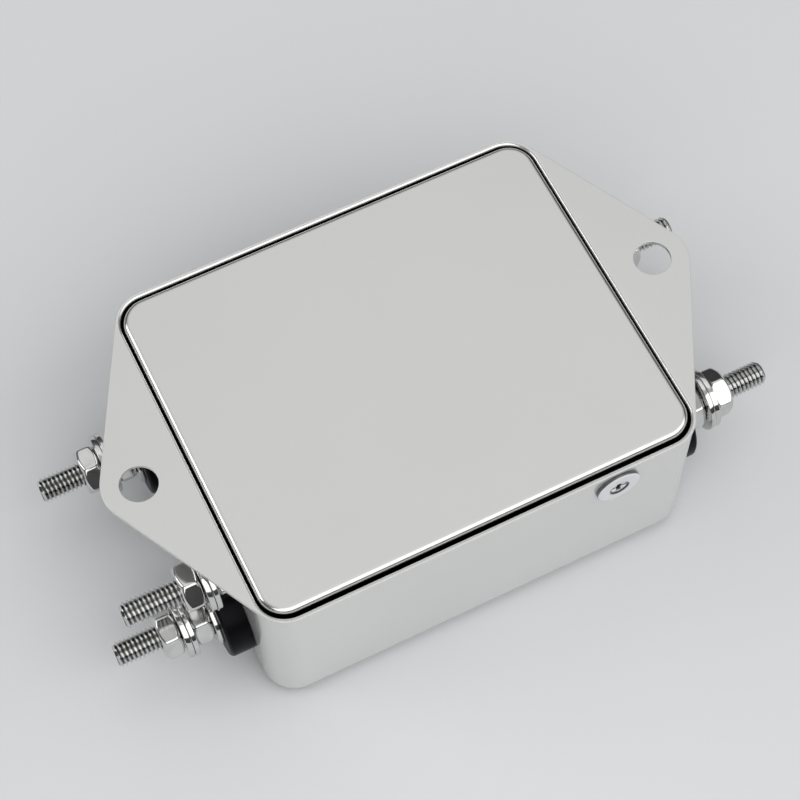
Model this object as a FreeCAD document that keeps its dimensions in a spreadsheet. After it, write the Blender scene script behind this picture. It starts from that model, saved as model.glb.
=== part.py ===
import FreeCAD, Part
import math
import os
import Sketcher

os.makedirs("parts", exist_ok=True)
doc = FreeCAD.newDocument("line_filter")

# Driving sizes in millimetres and degrees
DRIVING = {
    "metal": 0.7,
    "can_length": 71,
    "can_width": 58.5,
    "can_height": 30,
    "can_corner": 5.2,
    "can_foot": 2.5,
    "mouth_round": 0.7,
    "lip": 0.15,
    "ear_hole_pitch": 85,
    "ear_hole": 5.8,
    "ear_tip_back": 0.7,
    "ear_round": 6.35,
    "cover_rise": 0.6,
    "cover_round": 1.0,
    "cover_end_gap": 0.25,
    "cover_side_gap": 0.5,
    "cover_skirt": 2.8,
    "tab_width": 9,
    "tab_drop": 8.4,
    "screw_inset": 14.8,
    "screw_drop": 4.25,
    "screw_shank": 2.8,
    "screw_length": 6,
    "screw_head": 7.0,
    "screw_head_thick": 0.75,
    "recess_ring": 2.9,
    "cross_arm": 2.3,
    "cross_slot": 0.7,
    "stud": 4,
    "stud_inset": 14.25,
    "stud_level": 10,
    "stud_reach": 19.7,
    "stud_lead_in": 0.5,
    "thread_depth": 0.22,
    "thread_gap": 0.03,
    "stud_head": 8.6,
    "stud_head_thick": 1.5,
    "stud_rivet": 3,
    "rivet_proud": 0.5,
    "load_shift": -1.4,
    "earth_drop": 7,
    "earth_reach": 16.9,
    "bushing": 14.8,
    "bushing_thick": 4,
    "bushing_edge": 0.4,
    "spigot": 8,
    "inner_ring": 12,
    "inner_ring_thick": 1.2,
    "nut_flats": 7,
    "nut_thick": 3.1,
    "nut_bevel": 36,
    "nut_bevel_start": 0.3,
    "nut_bevel_past": 0.2,
    "washer": 10,
    "washer_thick": 0.8,
    "spring_thick": 1.0,
    "spring_slit": 0.35,
    "spring_lean": 0.9,
    "fit_gap": 0.1,
    "film_thick": 0.4,
    "film_border": 1,
    "board_end_room": 4.7,
    "board_side_room": 4.45,
    "board_thick": 1.6,
    "post": 5,
    "post_height": 2,
    "post_inset": 4,
    "core_outside": 30,
    "core_inside": 17,
    "core_height": 11,
    "wire": 1.6,
    "winding_angle": 140,
    "divider_thick": 1.5,
    "box_cap_length": 26,
    "box_cap_thick": 8.5,
    "box_cap_height": 16,
    "box_cap_inset": 6.8,
    "disc_cap": 9,
    "disc_cap_thick": 4,
    "disc_cap_inset": 5,
    "resistor": 3.4,
    "resistor_length": 9,
    "resistor_lead": 0.7,
    "resistor_bend": 2,
    "lead_stand": 1.2,
    "tag_width": 4,
    "tag_foot": 3.2,
    "earth_step": 7,
}

sizes = doc.addObject("Spreadsheet::Sheet", "sizes")
for row, (alias, number) in enumerate(DRIVING.items(), start=1):
    sizes.set(f"A{row}", alias)
    sizes.set(f"B{row}", str(number))
    sizes.setAlias(f"B{row}", alias)
doc.recompute()

# Derived sizes, written once as expressions
S = {alias: f"sizes.{alias}" for alias in DRIVING}
WALL_FACE = "sizes.can_length / 2"
INNER_FACE = "(sizes.can_length / 2 - sizes.metal)"
SIDE_FACE = "sizes.can_width / 2"
INNER_SIDE = "(sizes.can_width / 2 - sizes.metal)"
BUSHING_FACE = "(sizes.can_length / 2 + sizes.bushing_thick)"
STUD_HOLE = "(sizes.stud / 2 + sizes.fit_gap)"
SCREW_HOLE = "(sizes.screw_shank / 2 + sizes.fit_gap)"
SCREW_LEVEL = "(sizes.can_height - sizes.screw_drop)"
HEAD_FACE = "(sizes.can_length / 2 - sizes.metal - sizes.inner_ring_thick - sizes.stud_head_thick)"
EARTH_HEAD_FACE = "(sizes.can_length / 2 - sizes.metal - sizes.stud_head_thick)"
SHANK = "(sizes.stud / 2 - sizes.thread_depth)"
NUT_BORE = "(sizes.stud / 2 - sizes.thread_depth + sizes.thread_gap)"
STACK = "(2 * sizes.nut_thick + sizes.washer_thick + sizes.spring_thick)"
NUT_FACE = f"(sizes.can_length / 2 + sizes.bushing_thick + sizes.washer_thick + {STACK})"
EARTH_NUT_FACE = f"(sizes.can_length / 2 + {STACK})"
STUD_TIP = "(sizes.can_length / 2 + sizes.stud_reach)"
EARTH_TIP = "(sizes.can_length / 2 + sizes.earth_reach)"
STUD_ACROSS = "(sizes.can_width / 2 - sizes.stud_inset)"
EARTH_LEVEL = "(sizes.can_height - sizes.earth_drop)"
EAR_TIP = "(sizes.ear_hole_pitch / 2 - sizes.ear_tip_back)"
SCREW_ALONG = "(sizes.can_length / 2 - sizes.screw_inset)"
RIVET_LENGTH = "(sizes.metal + sizes.rivet_proud)"
COVER_TOP = "(sizes.can_height + sizes.cover_rise)"
BOARD_LENGTH = "(sizes.can_length - 2 * sizes.metal - 2 * sizes.board_end_room)"
BOARD_WIDTH = "(sizes.can_width - 2 * sizes.metal - 2 * sizes.board_side_room)"
BOX_CAP_ALONG = f"({BOARD_LENGTH} / 2 - sizes.box_cap_inset)"
DISC_CAP_ACROSS = f"({BOARD_WIDTH} / 2 - sizes.disc_cap_inset)"
BOARD_LEVEL = "(sizes.metal + sizes.film_thick + sizes.post_height)"
BOARD_TOP = "(sizes.metal + sizes.film_thick + sizes.post_height + sizes.board_thick)"
CORE_LEVEL = f"({BOARD_TOP} + sizes.wire)"

NODES = {}


def value(text):
    """Number that an expression stands for."""
    return float(sizes.evalExpression(str(text)))


def keep(label, thing):
    """Register a finished sub-part under its node name."""
    thing.Label = label
    NODES[label] = thing
    return thing


def new_body(name):
    return doc.addObject("PartDesign::Body", name)


def origin_plane(body, role):
    for plane in body.Origin.OriginFeatures:
        if plane.Role == role:
            return plane
    raise ValueError(role)


def new_sketch(body, name, role="XY_Plane", level=None):
    """Sketch on one of the body's origin planes, lifted along its normal by level."""
    sketch = body.newObject("Sketcher::SketchObject", name)
    sketch.AttachmentSupport = [(origin_plane(body, role), "")]
    sketch.MapMode = "FlatFace"
    if level is not None:
        sketch.setExpression("AttachmentOffset.Base.z", level)
    return sketch


def bind(sketch, kind, where, size):
    """Dimension in a sketch that follows an expression."""
    index = sketch.addConstraint(Sketcher.Constraint(kind, *where, value(size)))
    sketch.setExpression(f"Constraints[{index}]", str(size))


def pin_point(sketch, item, end, across, up):
    """Hold a point of the sketch at two expressions; a plain zero puts it on the axis."""
    if str(across) == "0":
        sketch.addConstraint(Sketcher.Constraint("PointOnObject", item, end, -2))
    else:
        bind(sketch, "DistanceX", (-1, 1, item, end), across)
    if str(up) == "0":
        sketch.addConstraint(Sketcher.Constraint("PointOnObject", item, end, -1))
    else:
        bind(sketch, "DistanceY", (-1, 1, item, end), up)


def outline(sketch, corners):
    """Closed outline of straight sides through corners given as pairs of expressions."""
    points = [FreeCAD.Vector(value(a), value(b), 0) for a, b in corners]
    first = sketch.GeometryCount
    count = len(points)
    for i in range(count):
        sketch.addGeometry(Part.LineSegment(points[i], points[(i + 1) % count]), False)
    for i in range(count):
        after = first + (i + 1) % count
        sketch.addConstraint(Sketcher.Constraint("Coincident", first + i, 2, after, 1))
    for i, (across, up) in enumerate(corners):
        pin_point(sketch, first + i, 1, across, up)


def circle(sketch, radius, across="0", up="0"):
    """Circle with its radius and centre held by expressions."""
    centre = FreeCAD.Vector(value(across), value(up), 0)
    item = sketch.addGeometry(Part.Circle(centre, FreeCAD.Vector(0, 0, 1), value(radius)), False)
    bind(sketch, "Radius", (item,), radius)
    pin_point(sketch, item, 3, across, up)


def arc(sketch, centre, radius, start, stop):
    full = Part.Circle(centre, FreeCAD.Vector(0, 0, 1), radius)
    return sketch.addGeometry(Part.ArcOfCircle(full, math.radians(start), math.radians(stop)), False)


def rounded_rectangle(sketch, length, width, radius):
    """Rectangle about the origin with equal round corners."""
    corner = value(radius)
    x = value(length) / 2 - corner
    y = value(width) / 2 - corner
    arcs = []
    for k, (sx, sy) in enumerate(((1, 1), (-1, 1), (-1, -1), (1, -1))):
        arcs.append(arc(sketch, FreeCAD.Vector(sx * x, sy * y, 0), corner, 90 * k, 90 * k + 90))
    for k in range(4):
        after = (k + 1) % 4
        start = sketch.getPoint(arcs[k], 2)
        stop = sketch.getPoint(arcs[after], 1)
        side = sketch.addGeometry(Part.LineSegment(start, stop), False)
        sketch.addConstraint(Sketcher.Constraint("Tangent", arcs[k], 2, side, 1))
        sketch.addConstraint(Sketcher.Constraint("Tangent", side, 2, arcs[after], 1))
    for k in range(1, 4):
        sketch.addConstraint(Sketcher.Constraint("Equal", arcs[0], arcs[k]))
    sketch.addConstraint(Sketcher.Constraint("Symmetric", arcs[0], 3, arcs[1], 3, -2))
    sketch.addConstraint(Sketcher.Constraint("Symmetric", arcs[0], 3, arcs[3], 3, -1))
    sketch.addConstraint(Sketcher.Constraint("Symmetric", arcs[1], 3, arcs[2], 3, -1))
    bind(sketch, "Radius", (arcs[0],), radius)
    pin_point(sketch, arcs[0], 3, f"{length} / 2 - {radius}", f"{width} / 2 - {radius}")


def hexagon(sketch, flats):
    """Regular hexagon about the origin, one corner on the first axis."""
    reach = f"{flats} / 2 / cos(30)"
    radius = value(flats) / 2 / math.cos(math.radians(30))
    corners = []
    for k in range(6):
        angle = math.radians(60 * k)
        corners.append(FreeCAD.Vector(radius * math.cos(angle), radius * math.sin(angle), 0))
    for k in range(6):
        sketch.addGeometry(Part.LineSegment(corners[k], corners[(k + 1) % 6]), False)
    ring = sketch.addGeometry(Part.Circle(FreeCAD.Vector(0, 0, 0), FreeCAD.Vector(0, 0, 1), radius), True)
    for k in range(6):
        sketch.addConstraint(Sketcher.Constraint("Coincident", k, 2, (k + 1) % 6, 1))
        sketch.addConstraint(Sketcher.Constraint("PointOnObject", k, 1, ring))
    for k in range(1, 6):
        sketch.addConstraint(Sketcher.Constraint("Equal", 0, k))
    sketch.addConstraint(Sketcher.Constraint("Coincident", ring, 3, -1, 1))
    sketch.addConstraint(Sketcher.Constraint("PointOnObject", 0, 1, -1))
    bind(sketch, "Radius", (ring,), reach)


def pad(body, name, sketch, length, reverse=False, both=False):
    feature = body.newObject("PartDesign::Pad", name)
    feature.Profile = sketch
    feature.setExpression("Length", length)
    feature.Reversed = reverse
    feature.Midplane = both
    doc.recompute()
    return feature


def pocket(body, name, sketch, length=None, reverse=False, both=False):
    """Cut to a depth, or right through where no depth is given."""
    feature = body.newObject("PartDesign::Pocket", name)
    feature.Profile = sketch
    feature.Reversed = reverse
    feature.Midplane = both
    if length is None:
        feature.Type = 1
    else:
        feature.setExpression("Length", length)
    doc.recompute()
    return feature


def turn(body, name, sketch, cut=False, angle=360):
    """Turn a sketch of the XZ plane about the body's own Z axis."""
    kind = "PartDesign::Groove" if cut else "PartDesign::Revolution"
    feature = body.newObject(kind, name)
    feature.Profile = sketch
    feature.ReferenceAxis = (sketch, ["V_Axis"])
    feature.Angle = angle
    doc.recompute()
    return feature


def level_edges(feature, level, half_length=None, half_width=None):
    """Names of the edges that lie at one level, kept to a middle area where one is given."""
    names = []
    for index, edge in enumerate(feature.Shape.Edges, start=1):
        points = [vertex.Point for vertex in edge.Vertexes]
        points.append(edge.valueAt((edge.FirstParameter + edge.LastParameter) / 2))
        flat = all(abs(p.z - level) < 0.001 for p in points)
        inside = half_length is None or all(
            abs(p.x) < half_length + 0.01 and abs(p.y) < half_width + 0.01 for p in points
        )
        if flat and inside:
            names.append(f"Edge{index}")
    return names


def soften(body, name, feature, names, size, kind="Fillet"):
    """Round or bevel the named edges of a feature."""
    softened = body.newObject(f"PartDesign::{kind}", name)
    softened.Base = (feature, names)
    softened.setExpression("Radius" if kind == "Fillet" else "Size", size)
    doc.recompute()
    return softened


def hollow_out(body, name, feature, open_level):
    """Turn a block into a wall of sheet thickness, open on its flat face at one level."""
    for index, face in enumerate(feature.Shape.Faces, start=1):
        if all(abs(vertex.Z - open_level) < 0.001 for vertex in face.Vertexes):
            open_face = f"Face{index}"
    wall = body.newObject("PartDesign::Thickness", name)
    wall.Base = (feature, [open_face])
    wall.Reversed = True
    wall.Join = 0
    wall.setExpression("Value", S["metal"])
    doc.recompute()
    return wall


def put(thing, along="0", across="0", level="0", rotation=None):
    """Place a sub-part by expressions, with its own turn."""
    if rotation is not None:
        thing.Placement = FreeCAD.Placement(FreeCAD.Vector(0, 0, 0), rotation)
    for axis, place in (("x", along), ("y", across), ("z", level)):
        if str(place) != "0":
            thing.setExpression(f"Placement.Base.{axis}", str(place))
    return thing


def outward(end, twist=0):
    """Rotation that points a turned part's axis out of one end; end is -1 or 1."""
    tip_over = FreeCAD.Rotation(FreeCAD.Vector(0, 1, 0), 90 * end)
    return tip_over.multiply(FreeCAD.Rotation(FreeCAD.Vector(0, 0, 1), twist))


def put_on_end(thing, end, along, across, level, twist=0):
    """Seat a turned part at a distance from the middle of the can, facing out."""
    sign = "-1" if end < 0 else "1"
    return put(thing, f"{sign} * {along}", across, level, outward(end, twist))


# Terminals: end of the can, place across it, and height
TERMINALS = {
    "line_far": (-1, STUD_ACROSS, S["stud_level"]),
    "line_near": (-1, f"-1 * {STUD_ACROSS}", S["stud_level"]),
    "load_near": (1, f"(sizes.load_shift - {STUD_ACROSS})", S["stud_level"]),
    "load_far": (1, f"(sizes.load_shift + {STUD_ACROSS})", S["stud_level"]),
}
EARTH = (-1, f"-1 * {STUD_ACROSS}", EARTH_LEVEL)

# Degrees at which the outer nut, inner nut and spring washer of each stack came to rest
TWISTS = {
    "line_far": (38, 24, 95),
    "line_near": (16, 22, 70),
    "load_near": (59, 45, 120),
    "load_far": (50, 10, 200),
    "earth": (40, 50, 60),
}


def make_can():
    """Drawn box with ears in the plane of its mouth."""
    body = new_body("can_body")
    base = new_sketch(body, "can_outline")
    rounded_rectangle(base, S["can_length"], S["can_width"], S["can_corner"])
    block = pad(body, "can_block", base, S["can_height"])
    rounded = soften(body, "can_foot_round", block, level_edges(block, 0), S["can_foot"])
    hollow_out(body, "can_wall", rounded, value(S["can_height"]))

    flange = new_sketch(body, "flange_outline", level=S["can_height"])
    ear_outline(flange)
    pad(body, "flange", flange, S["metal"], reverse=True)
    opening = new_sketch(body, "mouth_outline", level=S["can_height"])
    inner_length = "(sizes.can_length - 2 * sizes.metal)"
    inner_width = "(sizes.can_width - 2 * sizes.metal)"
    rounded_rectangle(opening, inner_length, inner_width, "(sizes.can_corner - sizes.metal)")
    mouth = pocket(body, "mouth", opening, S["metal"])
    rim = level_edges(mouth, value(S["can_height"]), value(INNER_FACE), value(INNER_SIDE))
    soften(body, "mouth_round", mouth, rim, S["mouth_round"])

    holes = new_sketch(body, "ear_holes", level=S["can_height"])
    circle(holes, "sizes.ear_hole / 2", "sizes.ear_hole_pitch / 2", "0")
    circle(holes, "sizes.ear_hole / 2", "-1 * sizes.ear_hole_pitch / 2", "0")
    pocket(body, "ear_hole_cut", holes, "2 * sizes.metal")
    wall_holes(body)
    return keep("can", body)


def ear_outline(sketch):
    """Mouth edge and both diamond ears, every side tangent to round corners."""
    grown = "(sizes.can_corner + sizes.lip)"
    corner = value(grown)
    tip = value(S["ear_round"])
    cx = value("sizes.can_length / 2 - sizes.can_corner")
    cy = value("sizes.can_width / 2 - sizes.can_corner")
    ex = value(EAR_TIP)
    across_slant = math.degrees(math.atan2(cy, ex - cx))
    slant = across_slant - math.degrees(math.asin((tip - corner) / math.hypot(cy, ex - cx)))
    ends = {
        "top_right": (cx, cy, corner, slant, 90),
        "top_left": (-cx, cy, corner, 90, 180 - slant),
        "left": (-ex, 0, tip, 180 - slant, 180 + slant),
        "low_left": (-cx, -cy, corner, 180 + slant, 270),
        "low_right": (cx, -cy, corner, 270, 360 - slant),
        "right": (ex, 0, tip, -slant, slant),
    }
    order = ("top_right", "top_left", "left", "low_left", "low_right", "right")
    arcs = {}
    for name in order:
        x, y, radius, start, stop = ends[name]
        arcs[name] = arc(sketch, FreeCAD.Vector(x, y, 0), radius, start, stop)
    for k, name in enumerate(order):
        after = arcs[order[(k + 1) % 6]]
        edge = Part.LineSegment(sketch.getPoint(arcs[name], 2), sketch.getPoint(after, 1))
        side = sketch.addGeometry(edge, False)
        sketch.addConstraint(Sketcher.Constraint("Tangent", arcs[name], 2, side, 1))
        sketch.addConstraint(Sketcher.Constraint("Tangent", side, 2, after, 1))
    first = arcs["top_right"]
    for name in ("top_left", "low_left", "low_right"):
        sketch.addConstraint(Sketcher.Constraint("Equal", first, arcs[name]))
    sketch.addConstraint(Sketcher.Constraint("Equal", arcs["left"], arcs["right"]))
    sketch.addConstraint(Sketcher.Constraint("Symmetric", first, 3, arcs["top_left"], 3, -2))
    sketch.addConstraint(Sketcher.Constraint("Symmetric", first, 3, arcs["low_right"], 3, -1))
    sketch.addConstraint(Sketcher.Constraint("Symmetric", arcs["top_left"], 3, arcs["low_left"], 3, -1))
    sketch.addConstraint(Sketcher.Constraint("Symmetric", arcs["left"], 3, arcs["right"], 3, -2))
    bind(sketch, "Radius", (first,), grown)
    bind(sketch, "Radius", (arcs["right"],), S["ear_round"])
    corner_along = "sizes.can_length / 2 - sizes.can_corner"
    corner_across = "sizes.can_width / 2 - sizes.can_corner"
    pin_point(sketch, first, 3, corner_along, corner_across)
    pin_point(sketch, arcs["right"], 3, EAR_TIP, "0")


def wall_holes(body):
    """Stud holes in the end walls and screw holes in the long walls."""
    line = new_sketch(body, "line_end_holes", "YZ_Plane")
    load = new_sketch(body, "load_end_holes", "YZ_Plane")
    for end, across, level in TERMINALS.values():
        circle(line if end < 0 else load, "sizes.spigot / 2", across, level)
    circle(line, STUD_HOLE, EARTH[1], EARTH[2])
    pocket(body, "line_end_cut", line)
    pocket(body, "load_end_cut", load, reverse=True)
    near = new_sketch(body, "near_screw_hole", "XZ_Plane")
    circle(near, SCREW_HOLE, SCREW_ALONG, SCREW_LEVEL)
    pocket(body, "near_screw_cut", near, reverse=True)
    far = new_sketch(body, "far_screw_hole", "XZ_Plane")
    circle(far, SCREW_HOLE, f"-1 * {SCREW_ALONG}", SCREW_LEVEL)
    pocket(body, "far_screw_cut", far)


def make_cover():
    """Shallow cover with a rounded, turned-down edge and two tabs for the screws."""
    body = new_body("cover_body")
    length = "(sizes.can_length - 2 * sizes.metal - 2 * sizes.cover_end_gap)"
    width = "(sizes.can_width - 2 * sizes.metal - 2 * sizes.cover_side_gap)"
    corner = "(sizes.can_corner - sizes.metal - sizes.cover_end_gap)"
    plate = new_sketch(body, "cover_outline", level=COVER_TOP)
    rounded_rectangle(plate, length, width, corner)
    block = pad(body, "cover_block", plate, S["cover_skirt"], reverse=True)
    rounded = soften(body, "cover_edge", block, level_edges(block, value(COVER_TOP)), S["cover_round"])
    hollow_out(body, "cover_wall", rounded, value(f"{COVER_TOP} - sizes.cover_skirt"))
    for name, sign in (("near", 1), ("far", -1)):
        cover_tab(body, name, sign)
    return keep("cover_plate", body)


def cover_tab(body, name, sign):
    """Tab that runs down the inside of one long wall behind its screw."""
    sketch = new_sketch(body, f"{name}_tab_outline", "XZ_Plane", level=f"{sign} * {INNER_SIDE}")
    middle = f"{sign} * {SCREW_ALONG}"
    low = f"{COVER_TOP} - sizes.tab_drop"
    high = f"{COVER_TOP} - sizes.cover_skirt + sizes.metal / 2"
    outline(sketch, [
        (f"{middle} - sizes.tab_width / 2", low),
        (f"{middle} + sizes.tab_width / 2", low),
        (f"{middle} + sizes.tab_width / 2", high),
        (f"{middle} - sizes.tab_width / 2", high),
    ])
    pad(body, f"{name}_tab", sketch, S["metal"], reverse=sign > 0)
    hole = new_sketch(body, f"{name}_tab_hole", "XZ_Plane")
    circle(hole, SCREW_HOLE, middle, SCREW_LEVEL)
    pocket(body, f"{name}_tab_cut", hole, reverse=sign > 0)


def make_screw(name, sign):
    """Wafer-head screw: head outside the wall, cross recess in a shallow ring."""
    body = new_body(name)
    profile = new_sketch(body, f"{name}_profile", "XZ_Plane")
    outline(profile, [
        ("0", "0"),
        ("sizes.screw_shank / 2 - sizes.stud_lead_in / 2", "0"),
        ("sizes.screw_shank / 2", "sizes.stud_lead_in"),
        ("sizes.screw_shank / 2", S["screw_length"]),
        ("sizes.screw_head / 2", S["screw_length"]),
        ("sizes.screw_head / 2", "sizes.screw_length + sizes.screw_head_thick / 2"),
        ("sizes.screw_head / 2 - sizes.screw_head_thick", "sizes.screw_length + sizes.screw_head_thick"),
        ("0", "sizes.screw_length + sizes.screw_head_thick"),
    ])
    turn(body, f"{name}_turned", profile)
    top = "sizes.screw_length + sizes.screw_head_thick"
    ring = new_sketch(body, f"{name}_ring", level=top)
    circle(ring, "sizes.recess_ring / 2")
    pocket(body, f"{name}_ring_cut", ring, "sizes.screw_head_thick / 4")
    cross = new_sketch(body, f"{name}_cross", level=top)
    cross_outline(cross)
    pocket(body, f"{name}_cross_cut", cross, "sizes.screw_head_thick * 1.4")
    tip_over = FreeCAD.Rotation(FreeCAD.Vector(1, 0, 0), 90 * sign)
    face = f"{-sign} * (sizes.can_width / 2 - sizes.screw_length)"
    return put(body, f"{sign} * {SCREW_ALONG}", face, SCREW_LEVEL, tip_over)


def cross_outline(sketch):
    """Plus-shaped recess about the origin."""
    arm = "sizes.cross_arm / 2"
    half = "sizes.cross_slot / 2"
    corners = []
    for sx, sy in ((1, 1), (-1, 1), (-1, -1), (1, -1)):
        quarter = [
            (f"{sx} * {arm}", f"{sy} * {half}"),
            (f"{sx} * {half}", f"{sy} * {half}"),
            (f"{sx} * {half}", f"{sy} * {arm}"),
        ]
        corners += quarter if sx == sy else quarter[::-1]
    outline(sketch, corners)


def turned_part(name, corners):
    """Body turned about its own Z axis from a closed profile."""
    body = new_body(name)
    profile = new_sketch(body, f"{name}_profile", "XZ_Plane")
    outline(profile, corners)
    turn(body, f"{name}_turned", profile)
    return body


def make_stud(name, end, across, level, head_face, nut_face, tip):
    """Stud with a head inside the can, a rivet end for its tag, and a free threaded end.

    Where the nuts hold it, stud and nut meet at the thread's pitch radius.
    """
    head = f"({RIVET_LENGTH} + sizes.stud_head_thick)"
    free = f"({nut_face} - {head_face} + {RIVET_LENGTH})"
    total = f"({tip} - {head_face} + {RIVET_LENGTH})"
    body = turned_part(f"{name}_body", [
        ("0", "0"),
        ("sizes.stud_rivet / 2", "0"),
        ("sizes.stud_rivet / 2", RIVET_LENGTH),
        ("sizes.stud_head / 2", RIVET_LENGTH),
        ("sizes.stud_head / 2", head),
        (SHANK, head),
        (SHANK, free),
        ("sizes.stud / 2", free),
        ("sizes.stud / 2", f"{total} - sizes.stud_lead_in"),
        ("sizes.stud / 2 - sizes.stud_lead_in", total),
        ("0", total),
    ])
    put_on_end(body, end, f"({head_face} - {RIVET_LENGTH})", across, level)
    return keep(name, body)


def make_bushing(name, end, across, level):
    """Moulded bushing: flange outside the wall, spigot through it, bevelled front edge."""
    total = "(sizes.metal + sizes.bushing_thick)"
    spigot = "sizes.spigot / 2 - sizes.fit_gap"
    body = turned_part(f"{name}_body", [
        (STUD_HOLE, "0"),
        (spigot, "0"),
        (spigot, S["metal"]),
        ("sizes.bushing / 2", S["metal"]),
        ("sizes.bushing / 2", f"{total} - sizes.bushing_edge"),
        ("sizes.bushing / 2 - sizes.bushing_edge", total),
        (STUD_HOLE, total),
    ])
    put_on_end(body, end, INNER_FACE, across, level)
    return keep(name, body)


def make_inner_ring(name, end, across, level):
    """Insulating ring between the inside of the wall and the head of the stud."""
    body = ring_body(f"{name}_body", "sizes.inner_ring / 2", STUD_HOLE, S["inner_ring_thick"])
    put_on_end(body, end, f"({INNER_FACE} - sizes.inner_ring_thick)", across, level)
    return keep(name, body)


def ring_body(name, outer, inner, thick):
    body = new_body(name)
    sketch = new_sketch(body, f"{name}_outline")
    circle(sketch, outer)
    circle(sketch, inner)
    pad(body, f"{name}_plate", sketch, thick)
    return body


def nut_body(name):
    """Hexagon nut with both faces turned down at the corners."""
    body = new_body(name)
    sketch = new_sketch(body, f"{name}_outline")
    hexagon(sketch, S["nut_flats"])
    circle(sketch, NUT_BORE)
    pad(body, f"{name}_block", sketch, S["nut_thick"])
    flat = "(sizes.nut_flats / 2 - sizes.nut_bevel_start)"
    past = "(sizes.nut_flats / 2 / cos(30) + sizes.nut_bevel_past)"
    drop = f"(({past} - {flat}) * tan(sizes.nut_bevel))"
    faces = (("low", "0", drop), ("high", S["nut_thick"], f"sizes.nut_thick - {drop}"))
    for face, level, depth in faces:
        bevel = new_sketch(body, f"{name}_{face}_bevel", "XZ_Plane")
        outline(bevel, [(flat, level), (past, level), (past, depth)])
        turn(body, f"{name}_{face}_turned", bevel, cut=True)
    return body


def spring_body(name):
    """Spring washer clamped flat, with its leaning slit."""
    outer = "sizes.washer / 2 - sizes.fit_gap"
    body = ring_body(name, outer, "sizes.stud / 2 + 2 * sizes.fit_gap", S["spring_thick"])
    sketch = new_sketch(body, f"{name}_slit", "YZ_Plane")
    outline(sketch, [
        (S["spring_slit"], "0"),
        ("2 * sizes.spring_slit", "0"),
        ("2 * sizes.spring_slit + sizes.spring_lean", S["spring_thick"]),
        ("sizes.spring_slit + sizes.spring_lean", S["spring_thick"]),
    ])
    pocket(body, f"{name}_slit_cut", sketch, S["washer"])
    return body


def group(label, things):
    """One node of separate solids that are alike."""
    compound = doc.addObject("Part::Compound", f"{label}_group")
    compound.Links = things
    return keep(label, compound)


def make_hardware():
    """Nuts and washers on the five studs, stacked outward from the first seat."""
    nuts, clamps, flats, springs, seats = [], [], [], [], []
    stacks = {name: (place, True) for name, place in TERMINALS.items()}
    stacks["earth"] = (EARTH, False)
    for name, ((end, across, level), insulated) in stacks.items():
        outer_twist, inner_twist, slit_twist = TWISTS[name]
        seat = BUSHING_FACE if insulated else WALL_FACE
        if insulated:
            washer = ring_body(f"{name}_seat_washer", "sizes.washer / 2", STUD_HOLE, S["washer_thick"])
            seats.append(put_on_end(washer, end, seat, across, level))
            seat = f"({seat} + sizes.washer_thick)"
        clamps.append(put_on_end(nut_body(f"{name}_clamp_nut"), end, seat, across, level, inner_twist))
        seat = f"({seat} + sizes.nut_thick)"
        flat = ring_body(f"{name}_flat_washer", "sizes.washer / 2", STUD_HOLE, S["washer_thick"])
        flats.append(put_on_end(flat, end, seat, across, level))
        seat = f"({seat} + sizes.washer_thick)"
        springs.append(put_on_end(spring_body(f"{name}_spring"), end, seat, across, level, slit_twist))
        seat = f"({seat} + sizes.spring_thick)"
        nuts.append(put_on_end(nut_body(f"{name}_nut"), end, seat, across, level, outer_twist))
    group("seat_washers", seats)
    group("clamp_nuts", clamps)
    group("flat_washers", flats)
    group("spring_washers", springs)
    group("terminal_nuts", nuts)


def block_body(name, length, width, height):
    """Plain block standing on its own XY plane, centred on its Z axis."""
    body = new_body(name)
    sketch = new_sketch(body, f"{name}_outline")
    x = f"{length} / 2"
    y = f"{width} / 2"
    outline(sketch, [(f"-1 * {x}", f"-1 * {y}"), (x, f"-1 * {y}"), (x, y), (f"-1 * {x}", y)])
    pad(body, f"{name}_block", sketch, height)
    return body


def make_board():
    """Film on the floor, posts, and the board that carries the inner parts."""
    film_length = f"({BOARD_LENGTH} + 2 * sizes.film_border)"
    film_width = f"({BOARD_WIDTH} + 2 * sizes.film_border)"
    film = block_body("film_body", film_length, film_width, S["film_thick"])
    keep("insulating_sheet", put(film, level=S["metal"]))
    board = block_body("board_body", BOARD_LENGTH, BOARD_WIDTH, S["board_thick"])
    keep("circuit_board", put(board, level=BOARD_LEVEL))
    posts = []
    for k, (sx, sy) in enumerate(((1, 1), (-1, 1), (-1, -1), (1, -1))):
        post = new_body(f"post_{k}")
        sketch = new_sketch(post, f"post_{k}_outline")
        circle(sketch, "sizes.post / 2")
        pad(post, f"post_{k}_block", sketch, S["post_height"])
        along = f"{sx} * ({BOARD_LENGTH} / 2 - sizes.post_inset)"
        across = f"{sy} * ({BOARD_WIDTH} / 2 - sizes.post_inset)"
        posts.append(put(post, along, across, "sizes.metal + sizes.film_thick"))
    group("board_posts", posts)


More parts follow.
